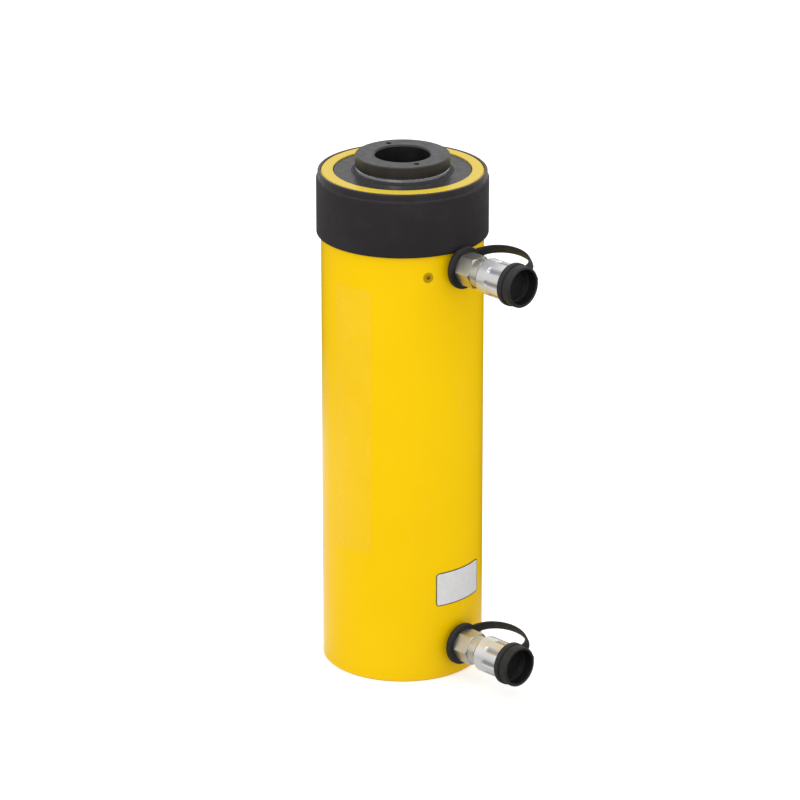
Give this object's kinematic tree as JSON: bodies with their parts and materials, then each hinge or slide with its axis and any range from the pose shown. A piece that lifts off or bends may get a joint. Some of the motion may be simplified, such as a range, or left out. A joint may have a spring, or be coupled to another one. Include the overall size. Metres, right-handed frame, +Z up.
{
  "type": "hollow plunger cylinder",
  "caption": "Tall double-acting hydraulic cylinder with a hollow plunger, through hole, collar-thread protector, saddle and side hose couplers with tethered dust caps.",
  "frame": {"origin": "centre of the centre hole at the base face", "axes": "+Z up along the plunger, +X towards the two hose couplers"},
  "size_m": [0.2516, 0.1682, 0.5241],
  "materials": {
    "yellow_enamel": "glossy enamel",
    "black_moulding": "matte moulded",
    "black_oxide_steel": "black oxide, slight sheen",
    "hard_chrome": "ground and polished",
    "bare_steel": "machined",
    "bronze": "machined",
    "seal_plastic": "moulded",
    "black_rubber": "matte moulded",
    "zinc_plated_steel": "bright zinc plate",
    "spring_steel": "drawn wire"
  },
  "bodies": {
    "cylinder": {"cylinder_barrel": "yellow_enamel", "gland_nut": "black_oxide_steel", "gland_wear_ring": "bronze", "rod_seal": "seal_plastic", "rod_wiper": "black_rubber", "gland_o_ring": "black_rubber", "center_tube": "bare_steel", "base_o_ring": "black_rubber", "base_retaining_ring": "bare_steel", "upper_coupler_body": "zinc_plated_steel", "upper_coupler_wire_ring": "spring_steel", "upper_coupler_spring": "spring_steel", "upper_tether_ring": "black_rubber", "upper_cap_strap": "black_rubber", "lower_coupler_body": "zinc_plated_steel", "lower_coupler_wire_ring": "spring_steel", "lower_coupler_spring": "spring_steel", "lower_tether_ring": "black_rubber", "lower_cap_strap": "black_rubber", "relief_plug": "yellow_enamel", "relief_spring": "spring_steel"},
    "protector": {"thread_protector": "black_moulding"},
    "plunger": {"plunger": "hard_chrome", "piston": "bare_steel", "piston_seal": "seal_plastic", "piston_lower_wear_ring": "bronze", "piston_upper_wear_ring": "bronze", "inner_wear_ring": "bronze", "inner_seal": "seal_plastic", "piston_o_ring": "black_rubber", "saddle": "black_oxide_steel"},
    "upper_sleeve": {"upper_coupler_sleeve": "zinc_plated_steel"},
    "lower_sleeve": {"lower_coupler_sleeve": "zinc_plated_steel"},
    "upper_poppet": {"upper_coupler_poppet": "bronze"},
    "lower_poppet": {"lower_coupler_poppet": "bronze"},
    "upper_cap": {"upper_dust_cap": "black_rubber"},
    "lower_cap": {"lower_dust_cap": "black_rubber"},
    "relief_valve": {"relief_poppet": "bronze"}
  },
  "joints": [
    {"name": "plunger_slide", "type": "slide", "parent": "cylinder", "child": "plunger", "axis": [0, 0, 1], "range_m": [0, 0.305]},
    {"name": "protector_lift", "type": "slide", "parent": "cylinder", "child": "protector", "axis": [0, 0, 1], "range_m": [0, 0.07]},
    {"name": "upper_sleeve_turn", "type": "hinge", "parent": "cylinder", "child": "upper_sleeve", "pos_m": [0.1355, 0, 0.4291], "axis": [1, 0, 0], "continuous": true},
    {"name": "upper_poppet_push", "type": "slide", "parent": "cylinder", "child": "upper_poppet", "axis": [-1, 0, 0], "range_m": [0, 0.004], "stiffness_N_per_m": 600, "springref_m": -0.004, "deforming": ["upper_coupler_spring"]},
    {"name": "upper_cap_pull", "type": "slide", "parent": "cylinder", "child": "upper_cap", "axis": [1, 0, 0], "range_m": [0, 0.025], "deforming": ["upper_cap_strap"]},
    {"name": "lower_sleeve_turn", "type": "hinge", "parent": "cylinder", "child": "lower_sleeve", "pos_m": [0.1355, 0, 0.035], "axis": [1, 0, 0], "continuous": true},
    {"name": "lower_poppet_push", "type": "slide", "parent": "cylinder", "child": "lower_poppet", "axis": [-1, 0, 0], "range_m": [0, 0.004], "stiffness_N_per_m": 600, "springref_m": -0.004, "deforming": ["lower_coupler_spring"]},
    {"name": "lower_cap_pull", "type": "slide", "parent": "cylinder", "child": "lower_cap", "axis": [1, 0, 0], "range_m": [0, 0.025], "deforming": ["lower_cap_strap"]},
    {"name": "relief_lift", "type": "slide", "parent": "cylinder", "child": "relief_valve", "axis": [0.9063, -0.4226, 0], "range_m": [0, 0.0008], "stiffness_N_per_m": 400, "springref_m": -0.002, "deforming": ["relief_spring"]}
  ]
}
